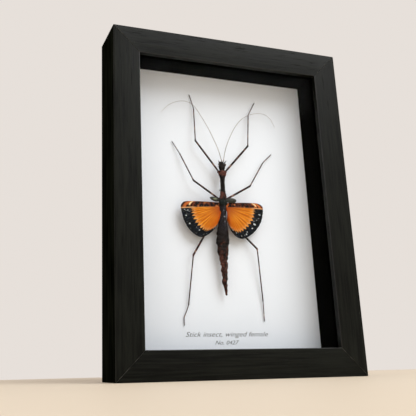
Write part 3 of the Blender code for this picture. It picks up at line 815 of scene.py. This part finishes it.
# Forewings
# Two short leathery covers lie over the roots of the hindwings: humped, veined ovals, dark olive, with a
# pale green patch in the middle of the left one.

# Across and up the board, half length and half width in millimetres, tilt in degrees, and how pale it is
forewings = {"left": (-7.8, 122.8, 3.7, 1.6, -13, 0.9), "right": (4.9, 122.3, 4.3, 1.9, 3, 0.06)}
forewing_sides, forewing_thickness = 40, 0.22


def make_forewing_finish(side, x, z, pale):
    made, tree, place = start_finish(f"{side}_forewing_leather", Specular_IOR_Level=0.4)
    middle = on_board(x, z, 0)
    heart_length, heart_width = 3.0 * mm, 1.25 * mm
    scale = (1 / heart_length, 0, 1 / heart_width)
    shift = (-middle.x / heart_length, 0, -middle.z / heart_width)
    local = tree.node("ShaderNodeMapping", {"Vector": place, "Scale": scale, "Location": shift})
    reach = tree.node("ShaderNodeVectorMath", {0: local}, output="Value", operation="LENGTH")
    mottle = tree.clouds(place, 1100, 3, 0.6)
    veins = tree.clouds(place, 1, 2, 0.5, (260, 260, 1500)).step(0.4, 0.6)
    heart = (reach + mottle * 0.7).step(1.05, 0.6) * pale
    colour = mottle.step(0.35, 0.7).tint(rgb(17, 19, 13), rgb(38, 40, 27))
    colour = heart.tint(colour, rgb(128, 134, 106))
    return end_finish(made, colour, mottle * 0.25 + 0.38, veins + mottle * 0.4, 0.12 * mm)


def add_forewing(side):
    """Two humped skins, one a fifth of a millimetre under the other, joined round the rim."""
    x, z, long, wide, tilt, pale = forewings[side]
    tilt = radians(tilt)
    bm = bmesh.new()
    rims = []
    for drop in (0.0, forewing_thickness):
        rings = []
        for share in (0.15, 0.3, 0.45, 0.6, 0.75, 0.87, 0.95, 1.0):
            ring = []
            for i in range(forewing_sides):
                turn = 2 * pi * i / forewing_sides
                a = share * long * cos(turn)
                b = share * wide * sin(turn) * (1 + 0.12 * cos(turn))
                veined = 0.16 * cos(9 * b) * (1 - share)
                height = 8.75 - 1.0 * share**2 + veined - drop * (1 - 0.6 * share)
                aside, up = a * cos(tilt) - b * sin(tilt), a * sin(tilt) + b * cos(tilt)
                ring.append(bm.verts.new(on_board(x + aside, z + up, height)))
            rings.append(ring)
        join_rings(bm, rings, capped=False)
        hub = bm.verts.new(on_board(x, z, 8.9 - drop))
        for i in range(forewing_sides):
            bm.faces.new((rings[0][i], rings[0][(i + 1) % forewing_sides], hub))
        rims.append(rings[-1])
    join_rings(bm, rims, capped=False)
    cover = add_mesh(f"forewing_{side}_cover", bm, [make_forewing_finish(side, x, z, pale)], 70)
    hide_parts(f"forewing_{side}")
    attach(cover, "root")


add_forewing("left")
add_forewing("right")

# Legs
# Six dry legs, thin as wire: a stout hip, a ridged thigh with dark and pale bands, a swollen knee, a thin
# shin and a five-jointed foot with two claws. Their feet rest on the board.

# Which point is the knee and which the ankle, then the points in millimetres: x, z and height above the board
legs = {
    "front_leg_left": (1, 2, [
        (-2, 143.6, 5.7), (-19.6, 166.6, 5.4), (-18.6, 193.2, 2.2), (-21.1, 204.6, 0.7),
    ]),
    "front_leg_right": (1, 2, [(2, 143.6, 5.7), (22.6, 166.2, 5.4), (26.4, 192.7, 2.2), (33, 204, 0.7)]),
    "middle_leg_left": (1, 2, [(-2.4, 123.4, 5), (-22.7, 136, 6.2), (-31.2, 157, 2.4), (-35.9, 166, 0.7)]),
    "middle_leg_right": (1, 2, [(1.4, 123.2, 5), (21.8, 134.8, 6.2), (36, 155.3, 2.4), (44.2, 162.8, 0.7)]),
    "hind_leg_left": (2, 3, [
        (-2.7, 118.6, 3.8), (-15.8, 95.8, 3.6), (-24.5, 82.6, 4.6), (-28.2, 48.4, 1.4), (-31.5, 40.3, 0.7),
        (-31.4, 35.4, 0.7),
    ]),
    "hind_leg_right": (2, 3, [
        (1.8, 118.4, 3.8), (16, 97.9, 3.6), (25, 88.6, 4.6), (28.5, 51.5, 1.4), (28.9, 38.2, 0.7),
    ]),
}
leg_sides = 12
cm = 10 * mm


def make_leg_finish():
    """Bands of dark brown, rust and straw down the leg. U is the distance along it in centimetres."""
    made, tree, place = start_finish("banded_leg_cuticle", Specular_IOR_Level=0.25)
    parts = tree.node("ShaderNodeSeparateXYZ", {0: tree.node("ShaderNodeUVMap", uv_map="UVMap")})
    bands = tree.clouds(tree.point(parts * 2.2, 0.0, 0.0), 1, 1.5)
    mottle = tree.clouds(place, 1900, 3, 0.6)
    lowered = parts.twin(1)
    colour = lowered.tint(rgb(20, 12, 13), rgb(54, 30, 30))
    colour = ((bands + mottle * 0.2).step(0.56, 0.64) * 0.75).tint(colour, rgb(86, 45, 40))
    colour = ((bands + mottle * 0.15).step(0.68, 0.72) * 0.8).tint(colour, rgb(166, 138, 122))
    colour = (mottle.step(0.55, 0.75) * 0.5).tint(colour, rgb(22, 15, 15))
    return end_finish(made, colour, mottle * 0.3 + 0.36, mottle, 0.06 * mm)


leg_finish = make_leg_finish()


def leg_stations(knee, ankle, points):
    """Points and radii down a leg, in millimetres, each with the number of its stretch."""
    thigh, shin, foot, foot_joints = 0.60, 0.42, 0.28, 5
    stations = []
    for k, (start, end) in enumerate(zip(points, points[1:])):
        start, end = Vector(start), Vector(end)
        length = (end - start).length
        count = max(10, round(length / 0.6))
        for n in range(count):
            share = n / count
            to_end = length * (1 - share)
            from_start = length * share
            if k < knee:
                radius = thigh + 0.08 * sin(pi * share)
                if k == 0:
                    hip = 0.34 * max(0.0, 1 - (from_start / 1.5) ** 4)
                    radius += hip - 0.2 * bulge(from_start - 1.7, 0.3)
                if k == knee - 1:
                    radius += 0.17 * bulge(to_end, 0.8)
            elif k < ankle:
                radius = shin + 0.24 * bulge(from_start, 0.9) + 0.1 * bulge(to_end, 0.9)
            else:
                joint = (from_start / (length / foot_joints)) % 1.0
                radius = foot + 0.08 * joint**3
            stations.append((start.lerp(end, share), radius, k))
    stations.append((Vector(points[-1]), 0.2, len(points) - 1))
    return stations


def across(ahead):
    """The two directions that are square to a leg: along the board, and away from it."""
    side = ahead.cross(Vector((0, 1, 0))).normalized()
    return side, side.cross(ahead).normalized()


def add_claws(bm, uv, tip, ahead):
    """Two small curved claws beyond the last joint of the foot."""
    side, out = across(ahead)
    steps = 5
    for hand in (-1, 1):
        rings = []
        for k in range(steps + 1):
            t = k / steps
            spread = hand * (0.12 + 0.42 * t - 0.15 * t * t)
            centre = tip + (ahead * (0.75 * t) + side * spread + out * 0.2 * t * t) * mm
            rings.append(round_ring(bm, centre, side, out, (0.11 * (1 - t) + 0.02) * mm, 6))
        for face in join_rings(bm, rings):
            for loop in face.loops:
                loop[uv].uv = (9.0, 1.0)


def add_leg(node):
    """A ridged tube down the leg. U is the distance along it in centimetres, and V rises towards the foot."""
    knee, ankle, points = legs[node]
    stations = leg_stations(knee, ankle, points)
    path = [on_board(*p) for p, _, _ in stations]
    spans = [(b - a).normalized() for a, b in zip(path, path[1:])]
    heading = [spans[0], *[(a + b).normalized() for a, b in zip(spans, spans[1:])], spans[-1]]
    bm = bmesh.new()
    uv = bm.loops.layers.uv.new("UVMap")
    rings, reach, marks = [], 0.0, {}
    for n, (centre, ahead, (_, radius, stretch)) in enumerate(zip(path, heading, stations)):
        if n:
            reach += (centre - path[n - 1]).length
        ridges = 0.10 if stretch < knee else 0.05
        rings.append(round_ring(bm, centre, *across(ahead), radius * mm, leg_sides, ridges))
        mark = (reach / cm, 0.0 if stretch < knee else 0.75 if stretch < ankle else 1.0)
        marks.update((corner, mark) for corner in rings[-1])
    for face in join_rings(bm, rings):
        for loop in face.loops:
            loop[uv].uv = marks[loop.vert]
    add_claws(bm, uv, path[-1] - heading[-1] * 0.1 * mm, heading[-1])
    leg = add_mesh(node + "_limb", bm, [leg_finish], 60)
    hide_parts(node)
    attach(leg, "root")


for leg_name in legs:
    add_leg(leg_name)

# Antennae
# Two feelers as fine as horsehair, each of about seventy short joints, that curve out over the board. They
# are grown by one node tree along a line of points.

feeler_sizes = {"Root Radius": 0.21 * mm, "Tip Radius": 0.08 * mm, "Joints": 70.0}
# Points in millimetres: x, z and height above the board
feelers = {
    "antenna_left": [
        (0.2, 151.6, 6.4), (-0.4, 154, 6.4), (-2.3, 161.6, 6), (-5.4, 170.4, 5), (-8.6, 177.8, 4.5),
        (-13.8, 187.2, 4), (-18.4, 194, 3.8), (-23, 197.2, 3.6), (-29.7, 197.6, 3.2), (-36.2, 195.1, 3),
        (-40.5, 191.9, 2.8), (-44.1, 187.9, 2.6),
    ],
    "antenna_right": [
        (1.4, 151.6, 6.4), (1.8, 154, 6.4), (3.2, 159.5, 6), (5.9, 166.4, 5), (9.3, 173.5, 4.5),
        (13.6, 180.9, 4.2), (19.1, 187.4, 3.8), (25.4, 191.7, 3.6), (32.4, 194.2, 3.4), (39.3, 194.4, 3.2),
        (44.6, 191.2, 3), (48.2, 184.6, 2.8),
    ],
}


def make_feeler_finish():
    made, tree, place = start_finish("feeler_cuticle", Specular_IOR_Level=0.3)
    rings = tree.clouds(place, 330, 2)
    mottle = tree.clouds(place, 2400, 2)
    colour = (rings * 0.6 + mottle * 0.5).step(0.35, 0.75).tint(rgb(92, 78, 70), rgb(168, 156, 146))
    return end_finish(made, colour, mottle * 0.2 + 0.5, mottle, 0.03 * mm)


def start_tree(name, feed, sizes):
    """A node tree that is fed a mesh and has a named input for each size. Returns the feed."""
    tree = bpy.data.node_groups.new(name, "GeometryNodeTree")
    tree.interface.new_socket(name=feed, in_out="INPUT", socket_type="NodeSocketGeometry")
    for label, value in sizes.items():
        kind = "NodeSocketInt" if isinstance(value, int) else "NodeSocketFloat"
        tree.interface.new_socket(name=label, in_out="INPUT", socket_type=kind).default_value = value
    tree.interface.new_socket(name="Grown", in_out="OUTPUT", socket_type="NodeSocketGeometry")
    return Wire(tree).node("NodeGroupInput", output=feed)


def end_tree(grown, finish):
    """Turns what the tree has grown into real faces in their finish, and returns the tree."""
    real = grown.node("GeometryNodeRealizeInstances", {0: grown})
    painted = grown.node("GeometryNodeSetMaterial", {"Geometry": real, "Material": finish})
    out = grown.tree.nodes.new("NodeGroupOutput")
    grown.tree.links.new(painted.socket, out.inputs[0])
    return grown.tree


def make_feeler_tree(finish):
    """A line of edges becomes a tapering jointed tube."""
    line = start_tree("feeler", "Line", feeler_sizes)
    curve = line.node("GeometryNodeMeshToCurve", {"Mesh": line})
    smooth = line.node("GeometryNodeCurveSplineType", {"Curve": curve}, spline_type="CATMULL_ROM")
    dense = line.node("GeometryNodeResampleCurve", {"Curve": smooth, "Count": 420})
    share = line.node("GeometryNodeSplineParameter", output="Factor")
    radius = line.twin("Root Radius") + (line.twin("Tip Radius") - line.twin("Root Radius")) * share
    swell = share.math("ABSOLUTE", share.math("COSINE", share * line.twin("Joints") * pi)) ** 10
    base = share.math("LESS_THAN", share, 0.022) * 0.7
    jointed = radius * (1 + swell * 0.28 + base)
    sized = line.node("GeometryNodeSetCurveRadius", {"Curve": dense, "Radius": jointed})
    section = line.node("GeometryNodeCurvePrimitiveCircle", {"Resolution": 8, "Radius": 1.0})
    thickness = line.node("GeometryNodeInputRadius")
    sockets = {"Curve": sized, "Profile Curve": section, "Scale": thickness, "Fill Caps": True}
    return end_tree(line.node("GeometryNodeCurveToMesh", sockets), finish)


def grow(name, seed_mesh, tree, values, sharp_angle=60):
    """Runs a node tree on a mesh and returns what it grows as a plain mesh object at the origin."""
    source = bpy.data.objects.new(name + "_source", seed_mesh)
    bpy.context.scene.collection.objects.link(source)
    growth = source.modifiers.new("growth", "NODES")
    growth.node_group = tree
    for item in tree.interface.items_tree:
        if item.in_out == "INPUT" and item.name in values:
            growth[item.identifier] = values[item.name]
    bpy.context.view_layer.update()
    grown = bpy.data.meshes.new_from_object(source.evaluated_get(bpy.context.evaluated_depsgraph_get()))
    source.modifiers.remove(growth)
    bpy.data.objects.remove(source)
    return place_mesh(name, grown, sharp_angle)


feeler_tree = make_feeler_tree(make_feeler_finish())
for feeler_node, route in feelers.items():
    route_mesh = bpy.data.meshes.new(feeler_node + "_route")
    route_mesh.from_pydata([on_board(*p) for p in route], [(i, i + 1) for i in range(len(route) - 1)], [])
    feeler = grow(feeler_node + "_feeler", route_mesh, feeler_tree, feeler_sizes)
    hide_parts(feeler_node)
    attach(feeler, "root")

# Spines
# Short horny thorns in rows down the thighs and shins, and blunt grains scattered over the thorax. The
# insect bears them itself. One tree sets a cone at each point.

spine_sizes = {"Slimness": 0.26, "Seed": 7}


def make_spine_tree(finish):
    """A cone at each point, along the point's aim attribute and as long as its reach attribute."""
    places = start_tree("spines", "Places", spine_sizes)
    sockets = {"Vertices": 10, "Side Segments": 4, "Radius Top": 0.03, "Depth": 1.0}
    cone = places.node("GeometryNodeMeshCone", {**sockets, "Radius Bottom": places.twin("Slimness")})
    aim = places.node("GeometryNodeInputNamedAttribute", {"Name": "aim"}, data_type="FLOAT_VECTOR")
    reach = places.node("GeometryNodeInputNamedAttribute", {"Name": "reach"}, data_type="FLOAT")
    chance = places.node("FunctionNodeRandomValue", {2: 0.75, 3: 1.2, "Seed": places.twin("Seed")}, output=1)
    turned = places.node("FunctionNodeAlignRotationToVector", {"Vector": aim}, axis="Z")
    sockets = {"Points": places, "Instance": cone, "Rotation": turned, "Scale": reach * chance}
    return end_tree(places.node("GeometryNodeInstanceOnPoints", sockets), finish)


def spine_places():
    """Points with their aims and reaches: along the legs first, then over the thorax."""
    spots, aims, reaches = [], [], []
    for knee, ankle, points in legs.values():
        for k in range(knee - 1, ankle):
            start, end = on_board(*points[k]), on_board(*points[k + 1])
            ahead = (end - start).normalized()
            side = across(ahead)[0]
            radius = (0.55 if k < knee else 0.32) * mm
            count = round((end - start).length / (2.6 * mm))
            for n in range(1, count):
                for hand in (-1, 1):
                    out = (side * hand + Vector((0, -0.35, 0))).normalized()
                    spots.append(start.lerp(end, (n + 0.25 * hand) / count) + out * radius * 0.9)
                    aims.append((out + ahead * 0.5).normalized())
                    reaches.append((0.5 if k < knee else 0.38) * mm)
    grains, thorax_foot, thorax_length, spread = 150, 123.5, 21.0, 1.25
    for n in range(grains):
        z = thorax_foot + thorax_length * ((n * 0.618) % 1.0)
        turn = -pi / 2 + spread * (2 * ((n * 0.381966) % 1.0) - 1)
        above, below = next((a, b) for a, b in zip(body_rings, body_rings[1:]) if a[0] >= z >= b[0])
        share = (above[0] - z) / (above[0] - below[0])
        x, width, thickness = (above[k] + (below[k] - above[k]) * share for k in (1, 2, 3))
        out = Vector((cos(turn), sin(turn), 0))
        reach = (0.42 if n % 5 else 0.62) * mm
        spot = on_board(x + width / 2 * cos(turn), z, body_lift(z) - thickness / 2 * sin(turn))
        spots.append(spot + out * reach * 0.2)
        aims.append(out)
        reaches.append(reach)
    mesh = bpy.data.meshes.new("spine_places")
    mesh.from_pydata(spots, [], [])
    flat_aims = [c for aim in aims for c in aim]
    mesh.attributes.new("aim", "FLOAT_VECTOR", "POINT").data.foreach_set("vector", flat_aims)
    mesh.attributes.new("reach", "FLOAT", "POINT").data.foreach_set("value", reaches)
    return mesh


spines = grow("insect_spines", spine_places(), make_spine_tree(body_finish), spine_sizes)
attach(spines, "root")

# Pins
# Two steel pins, cut short, stand in the board under the thorax and the abdomen and hold the body off it.
# The body hides them, all but a glimpse from the side.


def make_zinc_finish(name, base, bright):
    made, tree, place = start_finish(name, Metallic=1.0)
    grey = tree.node("ShaderNodeSeparateColor", {0: tree.cells(place, 420, "Color")})
    smear = tree.clouds(place, 260, 4, 0.6)
    fine = tree.clouds(place, 5000, 2)
    colour = (grey * 0.5 + smear * 0.5).step(0.2, 0.8).tint(base, bright)
    return end_finish(made, colour, smear * 0.25 + grey * 0.1 + 0.22, fine * 0.5 + smear * 0.5, 0.03 * mm)


pin_steel = make_zinc_finish("pin_steel", rgb(120, 120, 120), rgb(190, 190, 188))
for pin in ("pin_thorax", "pin_abdomen"):
    paint(pin, pin_steel)

# Back panel
# A sheet of brown hardboard closes the back of the box, its smooth side in and its meshed side out. It lies
# in the rabbet behind the mount board.


def make_hardboard_finish():
    made, tree, place = start_finish("brown_hardboard", Specular_IOR_Level=0.25)
    fibres = tree.clouds(place, 1, 5, 0.65, (900, 900, 500))
    flecks = tree.clouds(place, 1400, 2).step(0.62, 0.70)
    broad = tree.clouds(place, 26, 3)
    colour = (fibres * 0.6 + broad * 0.4).step(0.3, 0.7).tint(rgb(84, 58, 38), rgb(134, 98, 66))
    colour = (flecks * 0.5).tint(colour, rgb(56, 38, 26))
    return end_finish(made, colour, fibres * 0.2 + 0.62, fibres, 0.15 * mm)


paint("back_panel", make_hardboard_finish())

# Back tabs
# Six flat steel points, rounded at the end, are pushed into the rails and bent down over the back panel to
# keep the layers in. One tree makes a tab and sets it at each point.

tab_names = [f"back_tab_{n}" for n in range(1, 7)]
tab_sizes = {"Width": 9 * mm, "Reach": 8 * mm, "Thickness": 0.4 * mm, "Corner": 2.6 * mm}


def make_tab_tree(finish):
    """One flat tab with rounded corners at each point of the source, turned by its attribute."""
    places = start_tree("tabs", "Places", tab_sizes)
    sockets = {"Width": places.twin("Width"), "Height": places.twin("Reach")}
    outline = places.node("GeometryNodeCurvePrimitiveQuadrilateral", sockets)
    sockets = {"Curve": outline, "Count": 6, "Radius": places.twin("Corner")}
    eased = places.node("GeometryNodeFilletCurve", sockets, mode="POLY")
    plate = places.node("GeometryNodeFillCurve", {"Curve": eased})
    sockets = {"Mesh": plate, "Offset Scale": places.twin("Thickness"), "Individual": False}
    raised = places.node("GeometryNodeExtrudeMesh", sockets)
    lower = places.node("GeometryNodeFlipFaces", {"Mesh": plate})
    both = places.node("GeometryNodeJoinGeometry", {})
    for half in (raised, lower):
        places.tree.links.new(half.socket, both.socket.node.inputs[0])
    closed = places.node("GeometryNodeMergeByDistance", {"Geometry": both, "Distance": 0.01 * mm})
    turn = places.node("GeometryNodeInputNamedAttribute", {"Name": "turn"}, data_type="FLOAT")
    sockets = {"Points": places, "Instance": closed, "Rotation": places.point(-pi / 2, turn, 0.0)}
    return end_tree(places.node("GeometryNodeInstanceOnPoints", sockets), finish)


zinc_plate = make_zinc_finish("zinc_plate", rgb(150, 152, 152), rgb(184, 186, 184))
tab_places = bpy.data.meshes.new("tab_places")
tab_spots, tab_turns = [], []
for tab in tab_names:
    low, high = (Vector(corner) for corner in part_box(tab))
    tab_spots.append(((low.x + high.x) / 2, low.y, (low.z + high.z) / 2))
    tab_turns.append(0.0 if high.x - low.x > high.z - low.z else pi / 2)
tab_places.from_pydata(tab_spots, [], [])
tab_places.attributes.new("turn", "FLOAT", "POINT").data.foreach_set("value", tab_turns)
tabs = grow("back_tabs", tab_places, make_tab_tree(zinc_plate), tab_sizes, 30)
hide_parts(*tab_names)
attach(tabs, "root")

# Hanger
# A toothed strip of plated steel, its ends nailed flat to the back of the top rail and its middle bowed off
# the wood, so that one of its teeth catches on a nail in the wall.


def add_hanger():
    """The strip from end to end in thin slices: bowed, toothed below, and rounded at its four corners."""
    low, high = (Vector(corner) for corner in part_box("hanger"))
    half = (high.x - low.x) / 2
    thick, bow, flat_end, slope = 0.8 * mm, 1.4 * mm, 8 * mm, 3 * mm
    teeth, tooth_run, tooth_depth = 9, 24 * mm, 1.5 * mm
    corner, edge, slices = 1.2 * mm, 0.12 * mm, 288
    bm = bmesh.new()
    rings = []
    for n in range(slices + 1):
        x = -half + 2 * half * n / slices
        ramp = rise(half - flat_end - abs(x), 0, slope)
        near = low.y + bow * ramp * ramp * (3 - 2 * ramp)
        phase = (x / tooth_run + 0.5) * teeth
        notch = 1 - abs(phase % 1.0 - 0.5) * 2 if 0 < phase < teeth else 0.0
        end = max(0.0, abs(x) - (half - corner)) / corner
        squeeze = corner * (1 - (1 - end**2) ** 0.5)
        top = high.z - squeeze
        bottom = low.z + tooth_depth * min(1.0, 1.25 * notch) + squeeze
        far = near + thick
        outline = [
            (near, bottom + edge), (near, top - edge), (near + edge, top), (far - edge, top),
            (far, top - edge), (far, bottom + edge), (far - edge, bottom), (near + edge, bottom),
        ]
        rings.append([bm.verts.new((x, y, z)) for y, z in outline])
    join_rings(bm, rings)
    hanger = add_mesh("toothed_hanger", bm, [zinc_plate], 35)
    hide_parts("hanger")
    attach(hanger, "root")


# Share of the head's radius, and share of its height
dome = [(0.94, 0), (1, 0.08), (1, 0.3), (0.93, 0.52), (0.8, 0.7), (0.6, 0.86), (0.35, 0.96), (0.12, 1)]


def add_nail_heads():
    side, out = Vector((1, 0, 0)), Vector((0, 0, 1))
    bm = bmesh.new()
    for node in ("hanger_nail_left", "hanger_nail_right"):
        low, high = (Vector(corner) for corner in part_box(node))
        middle, radius = (low + high) / 2, (high.x - low.x) / 2
        rings = []
        for spread, up in dome:
            centre = Vector((middle.x, low.y + up * (high.y - low.y), middle.z))
            rings.append(round_ring(bm, centre, side, out, spread * radius, 32))
        join_rings(bm, rings)
    heads = add_mesh("hanger_nail_heads", bm, [zinc_plate], 50)
    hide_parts("hanger_nail_left", "hanger_nail_right")
    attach(heads, "root")


add_hanger()
add_nail_heads()
